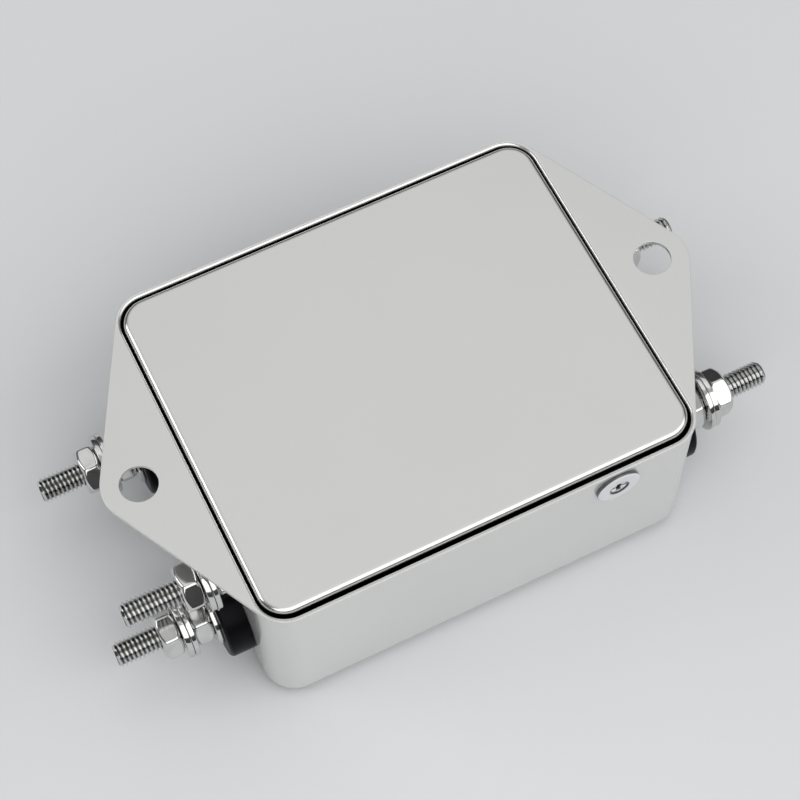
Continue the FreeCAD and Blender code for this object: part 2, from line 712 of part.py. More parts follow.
def make_choke():
    """Ferrite ring lying on its two coils, with the insulating wall across its bore."""
    core = ring_body("core_body", "sizes.core_outside / 2", "sizes.core_inside / 2", S["core_height"])
    keep("choke_core", put(core, level=CORE_LEVEL))
    inner = "(sizes.core_inside / 2)"
    outer = "(sizes.core_outside / 2)"
    for name, start in (("line_winding", -1), ("neutral_winding", 1)):
        body = new_body(f"{name}_body")
        sketch = new_sketch(body, f"{name}_section", "XZ_Plane")
        gap = "sizes.fit_gap"
        outline(sketch, [
            (f"{inner} - sizes.wire", "0"),
            (f"{outer} + sizes.wire", "0"),
            (f"{outer} + sizes.wire", "sizes.core_height + 2 * sizes.wire"),
            (f"{inner} - sizes.wire", "sizes.core_height + 2 * sizes.wire"),
        ])
        outline(sketch, [
            (f"{inner} - {gap}", "sizes.wire"),
            (f"{outer} + {gap}", "sizes.wire"),
            (f"{outer} + {gap}", "sizes.core_height + sizes.wire"),
            (f"{inner} - {gap}", "sizes.core_height + sizes.wire"),
        ])
        coil = turn(body, f"{name}_turned", sketch)
        coil.setExpression("Angle", S["winding_angle"])
        coil.Midplane = True
        doc.recompute()
        face = FreeCAD.Rotation(FreeCAD.Vector(0, 0, 1), 90 * start)
        keep(name, put(body, level=BOARD_TOP, rotation=face))
    span = "(sizes.core_inside - 2 * sizes.fit_gap)"
    wall = block_body("divider_body", span, S["divider_thick"], "sizes.core_height + 2 * sizes.wire")
    keep("choke_divider", put(wall, level=BOARD_TOP))


def make_capacitors():
    """Two box capacitors across the line and two discs to earth."""
    for name, sign in (("line_x_capacitor", -1), ("load_x_capacitor", 1)):
        box = block_body(f"{name}_body", S["box_cap_thick"], S["box_cap_length"], S["box_cap_height"])
        keep(name, put(box, f"{sign} * {BOX_CAP_ALONG}", "0", BOARD_TOP))
    for name, sign in (("line_y_capacitor", -1), ("neutral_y_capacitor", 1)):
        body = new_body(f"{name}_body")
        sketch = new_sketch(body, f"{name}_outline", "XZ_Plane")
        circle(sketch, "sizes.disc_cap / 2", "0", "sizes.disc_cap / 2 + sizes.lead_stand")
        pad(body, f"{name}_disc", sketch, S["disc_cap_thick"], both=True)
        leads = new_sketch(body, f"{name}_leads", "XZ_Plane")
        for side in (-1, 1):
            middle = f"{side} * sizes.disc_cap / 4"
            wire = "sizes.resistor_lead / 2"
            top = "sizes.disc_cap / 2 + sizes.lead_stand"
            outline(leads, [
                (f"{middle} - {wire}", "0"), (f"{middle} + {wire}", "0"),
                (f"{middle} + {wire}", top), (f"{middle} - {wire}", top),
            ])
        pad(body, f"{name}_wires", leads, S["resistor_lead"], both=True)
        keep(name, put(body, BOX_CAP_ALONG, f"{sign} * {DISC_CAP_ACROSS}", BOARD_TOP))


def make_resistor():
    """Axial resistor across the line, standing on its bent leads."""
    body = new_body("resistor_body")
    sketch = new_sketch(body, "resistor_round", "YZ_Plane")
    lift = "(sizes.resistor / 2 + sizes.lead_stand)"
    circle(sketch, "sizes.resistor / 2", "0", lift)
    pad(body, "resistor_barrel", sketch, S["resistor_length"], both=True)
    span = "(sizes.resistor_length / 2 + sizes.resistor_bend)"
    leads = new_sketch(body, "lead_outline", "XZ_Plane")
    wire = S["resistor_lead"]
    outline(leads, [
        (f"-1 * {span}", "0"),
        (f"{wire} - {span}", "0"),
        (f"{wire} - {span}", f"{lift} - {wire} / 2"),
        (f"{span} - {wire}", f"{lift} - {wire} / 2"),
        (f"{span} - {wire}", "0"),
        (span, "0"),
        (span, f"{lift} + {wire} / 2"),
        (f"-1 * {span}", f"{lift} + {wire} / 2"),
    ])
    pad(body, "leads", leads, wire, both=True)
    keep("bleed_resistor", put(body, f"-1 * {BOX_CAP_ALONG}", DISC_CAP_ACROSS, BOARD_TOP))


def make_tags():
    """Copper strips from the studs down to the board, each with a foot on it."""
    for name, (end, across, level) in TERMINALS.items():
        side, place = name.split("_")
        rise = f"({level} - {BOARD_TOP} + sizes.stud_head / 2)"
        body = strip_body(f"{name}_tag", end, rise, f"({level} - {BOARD_TOP})", HEAD_FACE)
        put(body, f"{end} * ({HEAD_FACE} - sizes.metal)", across, BOARD_TOP)
        keep(f"{side}_tag_{place}", body)


def strip_body(name, end, rise, hole_level, face):
    """Upright leg with a hole for the stud's rivet, and a foot that turns inward."""
    body = new_body(name)
    sketch = new_sketch(body, f"{name}_side", "XZ_Plane")
    out = f"{end} * sizes.metal"
    toe = f"{-end} * sizes.tag_foot"
    outline(sketch, [
        ("0", S["metal"]),
        (toe, S["metal"]),
        (toe, "0"),
        (out, "0"),
        (out, rise),
        ("0", rise),
    ])
    pad(body, f"{name}_strip", sketch, S["tag_width"], both=True)
    hole = new_sketch(body, f"{name}_hole", "YZ_Plane")
    circle(hole, "sizes.stud_rivet / 2 + sizes.fit_gap", "0", hole_level)
    pocket(body, f"{name}_hole_cut", hole, reverse=end > 0)
    return body


def make_earth_tag():
    """Copper strip that leads the earth stud past the line stud down to the board."""
    body = new_body("earth_tag_body")
    plate = new_sketch(body, "earth_tag_outline", "YZ_Plane")
    rise = f"({EARTH_LEVEL} - {BOARD_TOP})"
    half = "sizes.tag_width / 2"
    outer = f"(-1 * sizes.earth_step - {half})"
    inner = f"({half} - sizes.earth_step)"
    outline(plate, [
        (outer, "0"),
        (inner, "0"),
        (inner, f"{rise} - {half}"),
        (half, f"{rise} - {half}"),
        (half, f"{rise} + {half}"),
        (outer, f"{rise} + {half}"),
    ])
    pad(body, "earth_strip", plate, S["metal"])
    foot = new_sketch(body, "earth_foot_outline")
    toe = "sizes.metal + sizes.tag_foot"
    outline(foot, [("0", outer), (toe, outer), (toe, inner), ("0", inner)])
    pad(body, "earth_foot", foot, S["metal"])
    hole = new_sketch(body, "earth_tag_hole", "YZ_Plane")
    circle(hole, "sizes.stud_rivet / 2 + sizes.fit_gap", "0", rise)
    pocket(body, "earth_tag_cut", hole, both=True)
    put(body, f"-1 * {EARTH_HEAD_FACE}", EARTH[1], BOARD_TOP)
    return keep("earth_tag", body)


make_can()
make_cover()
group("cover_screws", [make_screw("near_screw", 1), make_screw("far_screw", -1)])
for terminal, (side_end, side_across, side_level) in TERMINALS.items():
    circuit, position = terminal.split("_")
    make_stud(f"{circuit}_stud_{position}", side_end, side_across, side_level, HEAD_FACE, NUT_FACE, STUD_TIP)
    make_bushing(f"{circuit}_bushing_{position}", side_end, side_across, side_level)
    make_inner_ring(f"{circuit}_inner_ring_{position}", side_end, side_across, side_level)
make_stud("earth_stud", *EARTH, EARTH_HEAD_FACE, EARTH_NUT_FACE, EARTH_TIP)
make_hardware()
make_board()
make_choke()
make_capacitors()
make_resistor()
make_tags()
make_earth_tag()
doc.recompute()

for thing in doc.Objects:
    if "Invalid" in thing.State or "Error" in thing.State:
        raise RuntimeError(f"{thing.Name}: {thing.State}")
for label, thing in NODES.items():
    shape = thing.Shape
    if shape.isNull() or not shape.isValid():
        raise RuntimeError(f"{label}: bad shape")
    shape.exportStep(f"parts/{label}.step")
print("nodes:", len(NODES))
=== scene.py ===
import math

import bmesh
import bpy
import numpy as np
from mathutils import Matrix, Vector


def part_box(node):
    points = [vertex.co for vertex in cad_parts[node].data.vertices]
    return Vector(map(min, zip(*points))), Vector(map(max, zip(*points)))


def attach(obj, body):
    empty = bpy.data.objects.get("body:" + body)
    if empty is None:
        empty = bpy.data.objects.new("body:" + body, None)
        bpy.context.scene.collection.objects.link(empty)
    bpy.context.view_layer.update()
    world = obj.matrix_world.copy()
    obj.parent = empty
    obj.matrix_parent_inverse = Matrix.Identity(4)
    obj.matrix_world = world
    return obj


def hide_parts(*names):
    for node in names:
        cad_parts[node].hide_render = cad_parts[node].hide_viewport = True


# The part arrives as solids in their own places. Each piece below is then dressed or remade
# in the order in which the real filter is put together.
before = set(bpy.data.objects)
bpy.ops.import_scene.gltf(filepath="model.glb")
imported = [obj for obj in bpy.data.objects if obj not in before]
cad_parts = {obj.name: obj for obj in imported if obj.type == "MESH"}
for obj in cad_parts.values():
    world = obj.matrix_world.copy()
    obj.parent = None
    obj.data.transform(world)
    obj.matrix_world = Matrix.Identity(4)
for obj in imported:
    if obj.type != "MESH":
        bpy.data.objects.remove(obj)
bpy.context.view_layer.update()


# Can: a box deep-drawn from nickel-plated steel sheet. Its closed face is the one it stands on,
# and the mouth turns out into two diamond ears. The mouth's inner edge keeps its draw radius,
# the trimmed outer edge is thin and bright, and the rolled sheet has a very fine grain.

MM = 0.001
WALL = 0.7
WALL_FACE = 35.5
SIDE_FACE = 29.25
CORNER = 5.2
CAN_TOP = 30.0
TOP_BAND = 0.03
CAN_EDGE = 0.1
SHARP = math.radians(32)
NICKEL_PALE = (0.7, 0.7, 0.688)
NICKEL_DEEP = (0.68, 0.68, 0.668)
NICKEL_ROUGH = (0.42, 0.5)
FLAT_METAL = 0.49
ROUND_POLISH = 0.45
# Painted shade deep inside the can: how far below the rounds it starts and is full, and its dark
# grey.
DARK_FROM = 0.7
DARK_TO = 1.1
PAINTED_INSIDE_SHADE = (0.03, 0.03, 0.032, 1)
SAME_POINT = 1e-6
FLAT_ANGLE = 0.0005


def new_finish(name):
    """A node material, its tree and shader, and its piece's own Object coordinates."""
    material = bpy.data.materials.new(name)
    material.use_nodes = True
    tree = material.node_tree
    place = tree.nodes.new("ShaderNodeTexCoord").outputs["Object"]
    return material, tree, tree.nodes["Principled BSDF"], place


def add_node(tree, kind, values, joins):
    """Adds a node, sets some of its inputs to values and joins others to sockets."""
    node = tree.nodes.new(kind)
    for name, value in values.items():
        node.inputs[name].default_value = value
    for name, source in joins.items():
        tree.links.new(source, node.inputs[name])
    return node


def noise(tree, place, scale, detail=2.0):
    """Noise with as many cells to the metre as its scale."""
    return add_node(tree, "ShaderNodeTexNoise", {"Scale": scale, "Detail": detail},
                    {"Vector": place}).outputs["Fac"]


def ranged(tree, value, start, stop, first, last):
    """A value carried from one range to another and held at its ends."""
    limits = {"From Min": start, "From Max": stop, "To Min": first, "To Max": last}
    return add_node(tree, "ShaderNodeMapRange", limits, {"Value": value}).outputs["Result"]


def toned(tree, value, start, deep, stop, pale):
    """Colour that runs from deep to pale while a value goes from start to stop."""
    node = add_node(tree, "ShaderNodeValToRGB", {}, {"Fac": value})
    lower, upper = node.color_ramp.elements
    lower.position = start
    lower.color = (*deep, 1)
    upper.position = stop
    upper.color = (*pale, 1)
    return node.outputs["Color"]


def shaded(tree, colour, share, painted_shade):
    """A colour mixed with a plain one by a share: the plain one is a painted shade."""
    node = tree.nodes.new("ShaderNodeMix")
    node.data_type = "RGBA"
    node.inputs["B"].default_value = painted_shade
    tree.links.new(share, node.inputs["Factor"])
    tree.links.new(colour, node.inputs["A"])
    return node.outputs["Result"]


def worked_out(tree, kind, operation, *terms):
    """Outputs of a Math or Vector Math node whose terms are numbers or sockets."""
    node = tree.nodes.new(kind)
    node.operation = operation
    for socket, term in zip(node.inputs, terms):
        if isinstance(term, bpy.types.NodeSocket):
            tree.links.new(term, socket)
        else:
            socket.default_value = term
    return node.outputs


def dressed(tree, shader, colour, rough, height, strength, depth):
    """Joins a finish's colour, roughness and bump to its shader."""
    bump = add_node(tree, "ShaderNodeBump", {"Strength": strength, "Distance": depth},
                    {"Height": height}).outputs["Normal"]
    for name, source in (("Base Color", colour), ("Roughness", rough), ("Normal", bump)):
        tree.links.new(source, shader.inputs[name])


def inside_can(tree, place):
    """One inside the middle line of the can's wall and nought outside it: whether the length of
    max(|p| - corner centre, 0) is less than the corner's radius to the middle of the sheet."""
    centre = ((WALL_FACE - CORNER) * MM, (SIDE_FACE - CORNER) * MM, 1.0)
    folded = worked_out(tree, "ShaderNodeVectorMath", "ABSOLUTE", place)["Vector"]
    past = worked_out(tree, "ShaderNodeVectorMath", "SUBTRACT", folded, centre)["Vector"]
    held = worked_out(tree, "ShaderNodeVectorMath", "MAXIMUM", past, (0.0, 0.0, 0.0))["Vector"]
    reach = worked_out(tree, "ShaderNodeVectorMath", "LENGTH", held)["Value"]
    middle = (CORNER - WALL / 2) * MM
    return worked_out(tree, "ShaderNodeMath", "LESS_THAN", reach, middle)["Value"]


def plated_sheet(name, pale, deep, round_low, round_high):
    """Satin plated sheet. Colour is noise of finger-wide cells between two greys; roughness and
    bump are one finer noise, stretched fiftyfold along the rolling direction. The draw polishes
    rounds and walls, so from round_high down to round_low the roughness falls by half, and
    inside the can the flat sheet's half mirror becomes a full one. Deep inside the can the colour
    falls to a dark grey: painted shade."""
    material, tree, shader, place = new_finish(name)
    colour = toned(tree, noise(tree, place, scale=30.0, detail=5.0), 0.3, deep, 0.7, pale)
    rolled = add_node(tree, "ShaderNodeMapping", {"Scale": (60.0, 3000.0, 3000.0)},
                      {"Vector": place}).outputs["Vector"]
    lines = noise(tree, rolled, scale=1.0, detail=3.0)
    level = add_node(tree, "ShaderNodeSeparateXYZ", {}, {"Vector": place}).outputs["Z"]
    low, high = round_low * MM, round_high * MM
    satin = ranged(tree, lines, 0.0, 1.0, *NICKEL_ROUGH)
    drawn = ranged(tree, level, low, high, ROUND_POLISH, 1.0)
    rough = worked_out(tree, "ShaderNodeMath", "MULTIPLY", satin, drawn)["Value"]

    # Painted shade: inside the can's wall, from a little below the rounds downward, the colour is
    # mixed into a dark grey.
    inside = inside_can(tree, place)
    deeper = ranged(tree, level, low - DARK_FROM * MM, low - DARK_TO * MM, 0.0, 1.0)
    inside_shade_share = worked_out(tree, "ShaderNodeMath", "MULTIPLY", inside, deeper)["Value"]
    mirror = ranged(tree, level, low, high, 1.0 - FLAT_METAL, 0.0)
    metal = worked_out(tree, "ShaderNodeMath", "MULTIPLY_ADD", mirror, inside, FLAT_METAL)
    tree.links.new(metal["Value"], shader.inputs["Metallic"])
    dressed(tree, shader, shaded(tree, colour, inside_shade_share, PAINTED_INSIDE_SHADE), rough, lines,
            strength=0.06, depth=0.00002)
    return material


def pressed_skin(node, name, material, edge):
    """The solid's own surface as one closed skin: its loose triangles joined, its flat areas
    made whole, its trimmed edges broken by a small bevel, and its rounds shaded smooth."""
    skin = bpy.data.objects.new(name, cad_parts[node].data.copy())
    bpy.context.scene.collection.objects.link(skin)
    work = bmesh.new()
    work.from_mesh(skin.data)
    bmesh.ops.remove_doubles(work, verts=work.verts, dist=SAME_POINT)
    flat = [e for e in work.edges if len(e.link_faces) == 2 and e.calc_face_angle() < FLAT_ANGLE]
    bmesh.ops.dissolve_edges(work, edges=flat, use_verts=False, use_face_split=False)
    loose = [v for v in work.verts if not v.link_edges]
    bmesh.ops.delete(work, geom=loose, context="VERTS")
    work.to_mesh(skin.data)
    work.free()
    skin.data.normals_split_custom_set_from_vertices([(0, 0, 0)] * len(skin.data.vertices))
    skin.data.shade_smooth()
    skin.data.set_sharp_from_angle(angle=SHARP)
    skin.data.materials.clear()
    skin.data.materials.append(material)
    bevel = skin.modifiers.new("edge", "BEVEL")
    bevel.width = edge * MM
    bevel.segments = 2
    bevel.limit_method = "ANGLE"
    bevel.angle_limit = SHARP
    bevel.harden_normals = True
    even = skin.modifiers.new("even", "WEIGHTED_NORMAL")
    even.keep_sharp = True
    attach(skin, "root")
    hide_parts(node)


satin_nickel = plated_sheet("satin_nickel", NICKEL_PALE, NICKEL_DEEP, CAN_TOP - TOP_BAND, CAN_TOP)
pressed_skin("can", "can_skin", satin_nickel, CAN_EDGE)


# Bushings: black moulded insulators, one under each line and load stud. A flange stands on the
# outside of the wall, its front edge a little bevelled, and a spigot passes through the sheet.
# They are clamped by the nut of the stud that runs through them.

BUSHING_RADIUS = 7.4
BUSHING_DEPTH = 4.0
BUSHING_BEVEL = 0.4
BUSHING_EASE = 0.15
SPIGOT_RADIUS = 3.9
STUD_HOLE = 2.1
BLACK_DEEP = (0.002, 0.002, 0.003)
BLACK_PALE = (0.004, 0.004, 0.006)
CREASE = math.radians(50)


def moulded(name, deep, pale, rough, speck, gloss=0.5):
    """Moulded or cast material: noise between two near colours, roughness from a finer noise,
    and a shallow bump of the same fine noise, as a mould leaves it."""
    material, tree, shader, place = new_finish(name)
    shader.inputs["Specular IOR Level"].default_value = gloss
    broad = noise(tree, place, scale=speck / 6, detail=4.0)
    fine = noise(tree, place, scale=speck, detail=3.0)
    dressed(tree, shader, toned(tree, broad, 0.35, deep, 0.68, pale),
            ranged(tree, fine, 0.0, 1.0, *rough), fine, strength=0.12, depth=0.00005)
    return material


def eased(corners, ease, steps=3):
    """A closed outline of (radius, height) corners with each corner cut back by ease and turned
    on a quadratic curve: (1-t)^2 a + 2t(1-t) corner + t^2 b."""
    corners = np.asarray(corners, float)
    before = np.roll(corners, 1, axis=0) - corners
    after = np.roll(corners, -1, axis=0) - corners
    reach = np.minimum(ease, 0.45 * np.minimum(
        np.linalg.norm(before, axis=1), np.linalg.norm(after, axis=1)))[:, None]
    a = corners + before / np.linalg.norm(before, axis=1)[:, None] * reach
    b = corners + after / np.linalg.norm(after, axis=1)[:, None] * reach
    t = np.linspace(0, 1, steps + 1)[None, :, None]
    curve = (1 - t) ** 2 * a[:, None] + 2 * t * (1 - t) * corners[:, None] + t ** 2 * b[:, None]
    return curve.reshape(-1, 2)


def turned(outline, around=96):
    """Rows of points of a closed outline turned about the axis: (r cos a, r sin a, h)."""
    angle = np.linspace(0, 2 * np.pi, around, endpoint=False)
    radius, height = outline[:, :1], outline[:, 1:]
    return np.stack([radius * np.cos(angle), radius * np.sin(angle),
                     height + 0 * angle], axis=2)


def facing_out(rows, node, seat, twist=0.0):
    """Moves rows made about their own axis onto the axis of a stud: the axis comes to point out
    of the can's end, starting at a distance from the middle, after a twist about itself."""
    low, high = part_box(node)
    end = 1 if low[0] + high[0] > 0 else -1
    across = (low[1] + high[1]) / 2 / MM
    level = (low[2] + high[2]) / 2 / MM
    c, s = math.cos(math.radians(twist)), math.sin(math.radians(twist))
    x = rows[..., 0] * c - rows[..., 1] * s
    y = rows[..., 0] * s + rows[..., 1] * c
    return np.stack([end * (rows[..., 2] + seat), y + across, level - end * x], axis=-1)


def closed_skin(name, sheets, material, stands_for, caps=False, depth=None):
    """One object from grids of points in millimetres. Every grid closes along its rows, and
    either closes from last row to first, or has its first and last rows filled. Where given,
    depth holds one value for each point of a grid, and is kept with the points: the share of
    painted shade that a bright-plated finish puts there."""
    points, faces, start = [], [], 0
    for rows in sheets:
        n, m = rows.shape[:2]
        index = start + np.arange(n * m).reshape(n, m)
        low = index[:-1] if caps else index
        high = index[1:] if caps else np.roll(index, -1, axis=0)
        quads = np.stack([low, np.roll(low, -1, axis=1), np.roll(high, -1, axis=1), high], axis=2)
        faces += quads.reshape(-1, 4).tolist()
        if caps:
            faces += [index[0][::-1].tolist(), index[-1].tolist()]
        points.append(rows.reshape(-1, 3) * MM)
        start += n * m
    mesh = bpy.data.meshes.new(name)
    mesh.from_pydata(np.concatenate(points), [], faces)
    work = bmesh.new()
    work.from_mesh(mesh)
    bmesh.ops.recalc_face_normals(work, faces=work.faces)
    work.to_mesh(mesh)
    work.free()
    mesh.shade_smooth()
    mesh.set_sharp_from_angle(angle=CREASE)
    mesh.materials.append(material)
    if depth is not None:
        # Painted shade: the share of dark grey that a bright-plated finish mixes in at each point.
        kept = mesh.attributes.new("depth", "FLOAT", "POINT")
        kept.data.foreach_set("value", np.tile(depth.ravel(), len(sheets)).astype(np.float32))
    piece = bpy.data.objects.new(name, mesh)
    bpy.context.scene.collection.objects.link(piece)
    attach(piece, "root")
    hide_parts(*stands_for)


glossy_black = moulded("glossy_black", BLACK_DEEP, BLACK_PALE, rough=(0.28, 0.38),
                       speck=900.0, gloss=0.07)
bushing = turned(eased([
    (STUD_HOLE, -WALL), (SPIGOT_RADIUS, -WALL), (SPIGOT_RADIUS, 0), (BUSHING_RADIUS, 0),
    (BUSHING_RADIUS, BUSHING_DEPTH - BUSHING_BEVEL),
    (BUSHING_RADIUS - BUSHING_BEVEL, BUSHING_DEPTH), (STUD_HOLE, BUSHING_DEPTH)],
    BUSHING_EASE))
for end in ("line", "load"):
    for side in ("near", "far"):
        node = f"{end}_bushing_{side}"
        closed_skin(f"{node}_skin", [facing_out(bushing, f"{end}_stud_{side}", WALL_FACE)],
                    glossy_black, [node])


# Studs: steel, bright nickel-plated, with a 4 mm thread of 0.7 mm pitch. A round head bears on
# the inner ring inside the can, a riveted end holds the tag, and the free end has a lead-in.

PITCH = 0.7
CREST = 1.99
ROOT = 1.57
FLANK_RISE = 1.2
ROOT_SINK = 0.08
LEAD_IN = 0.55
TIP_BREAK = 0.12
SHANK = 1.78
HEAD_RADIUS = 4.3
HEAD_DEPTH = 1.5
HEAD_EDGE = 0.15
RIVET_RADIUS = 1.5
RIVET_LENGTH = 1.3
RIVET_EDGE = 0.1
RING_DEPTH = 1.2
HEAD_FACE = WALL_FACE - WALL - RING_DEPTH - HEAD_DEPTH
EARTH_HEAD_FACE = WALL_FACE - WALL - HEAD_DEPTH
BUSHED_TIP = 55.2
EARTH_TIP = 52.4
AXIS_HOLE = 0.4
STUD_POINTS = 56
STEEL_PALE = (0.7, 0.7, 0.69)
STEEL_DEEP = (0.62, 0.62, 0.61)
# Dark grey painted as shade into thread roots, the screws' recesses and their heads' sides.
PAINTED_SHADE_GREY = (0.03, 0.03, 0.03, 1)


def bright_plating(name, pale, deep, rough, ripple, metal=1.0):
    """Bright plating: a mirror whose reflections run over a fine ripple. Colour is noise between
    two greys, roughness a second noise, the bump a third one about a millimetre wide. Where the
    piece's own value "depth" nears 1, as in a thread's root, the colour falls to a dark grey:
    painted shade."""
    material, tree, shader, place = new_finish(name)
    shader.inputs["Metallic"].default_value = metal
    # Painted shade: the piece's value "depth" mixes the colour into a dark grey.
    depth = tree.nodes.new("ShaderNodeAttribute")
    depth.attribute_name = "depth"
    colour = toned(tree, noise(tree, place, scale=400.0), 0.35, deep, 0.6, pale)
    haze = ranged(tree, noise(tree, place, scale=900.0), 0.0, 1.0, *rough)
    wave = noise(tree, place, scale=700.0)
    dressed(tree, shader, shaded(tree, colour, depth.outputs["Fac"], PAINTED_SHADE_GREY), haze, wave,
            strength=ripple, depth=0.00005)
    return material


def threaded(start, stop, per_turn=14):
    """Thread between two heights: the radius is root + depth * rise, where rise climbs and falls
    once per pitch along the helix h/pitch - a/360, with a small flat on its crest, and is held
    under the cone of the lead-in. The last column, how deep it lies, is 0.9 - 1.8 * rise, and
    sets how much painted shade the root gets."""
    angle = np.linspace(0, 2 * np.pi, STUD_POINTS, endpoint=False)
    height = np.linspace(start, stop, int((stop - start) / PITCH * per_turn))[:, None]
    turn = np.mod(height / PITCH - angle / (2 * np.pi), 1.0)
    rise = np.clip((1 - np.abs(2 * turn - 1)) * FLANK_RISE - ROOT_SINK, 0, 1)
    cone = CREST - LEAD_IN + (stop - height)
    radius = np.minimum(ROOT + (CREST - ROOT) * rise, np.maximum(cone, 0.1))
    return np.stack([radius * np.cos(angle), radius * np.sin(angle), height + 0 * angle,
                     np.clip(0.9 - 1.8 * rise, 0, 1)], axis=2)


def stud_rows(head_face, tip):
    """Rows from the rivet's end to the tip: rivet, head, shank, then the threaded length. The
    last column is the depth in the thread, which sets its painted shade, and nought off it."""
    rivet = head_face - RIVET_LENGTH
    neck = head_face + HEAD_DEPTH
    thread = WALL_FACE + BUSHING_DEPTH - 1
    below = np.array([
        (AXIS_HOLE, rivet), (RIVET_RADIUS - RIVET_EDGE, rivet),
        (RIVET_RADIUS, rivet + RIVET_EDGE), (RIVET_RADIUS, head_face),
        (HEAD_RADIUS - HEAD_EDGE, head_face), (HEAD_RADIUS, head_face + HEAD_EDGE),
        (HEAD_RADIUS, neck - HEAD_EDGE), (HEAD_RADIUS - HEAD_EDGE, neck), (SHANK, neck),
        (SHANK, thread)])
    end = np.array([(CREST - LEAD_IN - TIP_BREAK, tip), (AXIS_HOLE, tip)])
    off_thread = ((0, 0), (0, 0), (0, 1))
    return np.concatenate([
        np.pad(turned(below, STUD_POINTS), off_thread), threaded(thread + 0.01, tip),
        np.pad(turned(end, STUD_POINTS), off_thread)])


plated_steel = bright_plating("plated_steel", STEEL_PALE, STEEL_DEEP, rough=(0.06, 0.12),
                              ripple=0.04)
bushed_stud = stud_rows(HEAD_FACE, BUSHED_TIP)
short_stud = stud_rows(EARTH_HEAD_FACE, EARTH_TIP)
STUDS = {f"{end}_stud_{side}": bushed_stud for end in ("line", "load") for side in ("near", "far")}
STUDS["earth_stud"] = short_stud
for node, rows in STUDS.items():
    closed_skin(f"{node}_skin", [facing_out(rows, node, 0.0)], plated_steel,
                [node], caps=True, depth=rows[..., 3])


# Washers and nuts: bright-plated steel. On each bushing stand a flat washer, a nut that clamps
# the stud, a second flat washer, a split spring washer and the outer nut that holds the wire.
# The earth stack stands on the bare wall, without the first washer.

FLAT_RADIUS = 5.0
FLAT_BORE = 2.15
FLAT_DEPTH = 0.8
WASHER_EASE = 0.14
SPRING_BORE = 2.2
SPRING_RADIUS = 4.9
SPRING_PLAY = 0.04
SPRING_TOP = 0.92
SPRING_DEPTH = 1.0
SLIT_HALF = 0.055
SLIT_LEAN = 0.2
NUT_DEPTH = 3.1
NUT_FLATS = 7.0
NUT_BORE = 2.0
NUT_MOUTH = 2.4
NUT_FACE = 3.1
NUT_LIP = 0.03
NUT_CHAMFER = 0.35
CONE_FOOT = 3.22
CONE_SPREAD = 1.38
FLAT_POWER = 40
CONE_POWER = 28

# Turn, in degrees, of each stack's outer nut, its clamping nut and its spring washer's slit.
STACKS = {
    "line_stud_far": (38, 24, 95), "line_stud_near": (16, 22, 70),
    "load_stud_near": (59, 45, 120), "load_stud_far": (50, 10, 200),
    "earth_stud": (40, 50, 60),
}


def soft_least(sizes, power):
    """Smallest of several sizes, rounded off where two of them are near: the root of the sum of
    their inverse powers, turned over again."""
    return sum(size ** -power for size in sizes) ** (-1 / power)


def nut_rows(around=144):
    """Hexagon nut: the radius is the soft least of the six flats' distance / cos, and then of
    that and two cones that widen from the faces, so that every edge comes out a little round."""
    angle = np.linspace(0, 2 * np.pi, around, endpoint=False)
    normals = np.radians(30 + 60 * np.arange(6))[:, None]
    facing = np.clip(np.cos(angle - normals), 1e-3, None)
    flats = soft_least(NUT_FLATS / 2 / facing, FLAT_POWER)
    inner = np.linspace(NUT_LIP, NUT_DEPTH / 2, 14)
    height = np.concatenate([inner, NUT_DEPTH - inner[-2::-1]])[:, None]
    radius = soft_least([flats, CONE_FOOT + CONE_SPREAD * height,
                         CONE_FOOT + CONE_SPREAD * (NUT_DEPTH - height)], CONE_POWER)
    side = np.stack([radius * np.cos(angle), radius * np.sin(angle), height + 0 * angle], axis=2)
    bore = np.array([(NUT_BORE, NUT_CHAMFER), (NUT_MOUTH - 0.08, NUT_LIP), (NUT_MOUTH, 0),
                     (NUT_FACE, 0)])
    mouth = bore[::-1] * (1, -1) + (0, NUT_DEPTH)
    return np.concatenate([turned(bore, around), side, turned(mouth, around)])


def spring_rows(around=80):
    """Split ring: a rounded square section carried once round the axis, climbing a little from
    one end to the other, with both ends leaning so that the slit runs aslant."""
    section = eased([(SPRING_BORE, SPRING_PLAY), (SPRING_RADIUS, SPRING_PLAY),
                     (SPRING_RADIUS, SPRING_TOP), (SPRING_BORE, SPRING_TOP)], WASHER_EASE)
    angle = np.linspace(SLIT_HALF, 2 * np.pi - SLIT_HALF, around)[:, None]
    radius, height = section[:, 0], section[:, 1]
    lean = angle + SLIT_LEAN * (height - SPRING_DEPTH / 2)
    climb = height + SPRING_PLAY * (angle / np.pi - 1)
    return np.stack([radius * np.cos(lean), radius * np.sin(lean), climb + 0 * angle], axis=2)


flat_washer = turned(eased([(FLAT_BORE, 0), (FLAT_RADIUS, 0), (FLAT_RADIUS, FLAT_DEPTH),
                            (FLAT_BORE, FLAT_DEPTH)], WASHER_EASE), 80)
nut = nut_rows()
spring = spring_rows()
seats, clamps, flats, springs, nuts = [], [], [], [], []
for stud, (nut_twist, clamp_twist, slit_twist) in STACKS.items():
    level = WALL_FACE
    if stud != "earth_stud":
        level += BUSHING_DEPTH
        seats.append(facing_out(flat_washer, stud, level))
        level += FLAT_DEPTH
    clamps.append(facing_out(nut, stud, level, clamp_twist))
    level += NUT_DEPTH
    flats.append(facing_out(flat_washer, stud, level))
    level += FLAT_DEPTH
    springs.append(facing_out(spring, stud, level, slit_twist))
    level += SPRING_DEPTH
    nuts.append(facing_out(nut, stud, level, nut_twist))
for name, rows, caps in (("seat_washers", seats, False), ("clamp_nuts", clamps, False),
                         ("flat_washers", flats, False), ("spring_washers", springs, True),
                         ("terminal_nuts", nuts, False)):
    closed_skin(f"{name}_skin", rows, plated_steel, [name], caps=caps)


# Inside the can: a film on the floor, posts, a glass-fibre board and what it carries. The
# sealed pieces keep their solids' shape, and each gets the finish of its own material.

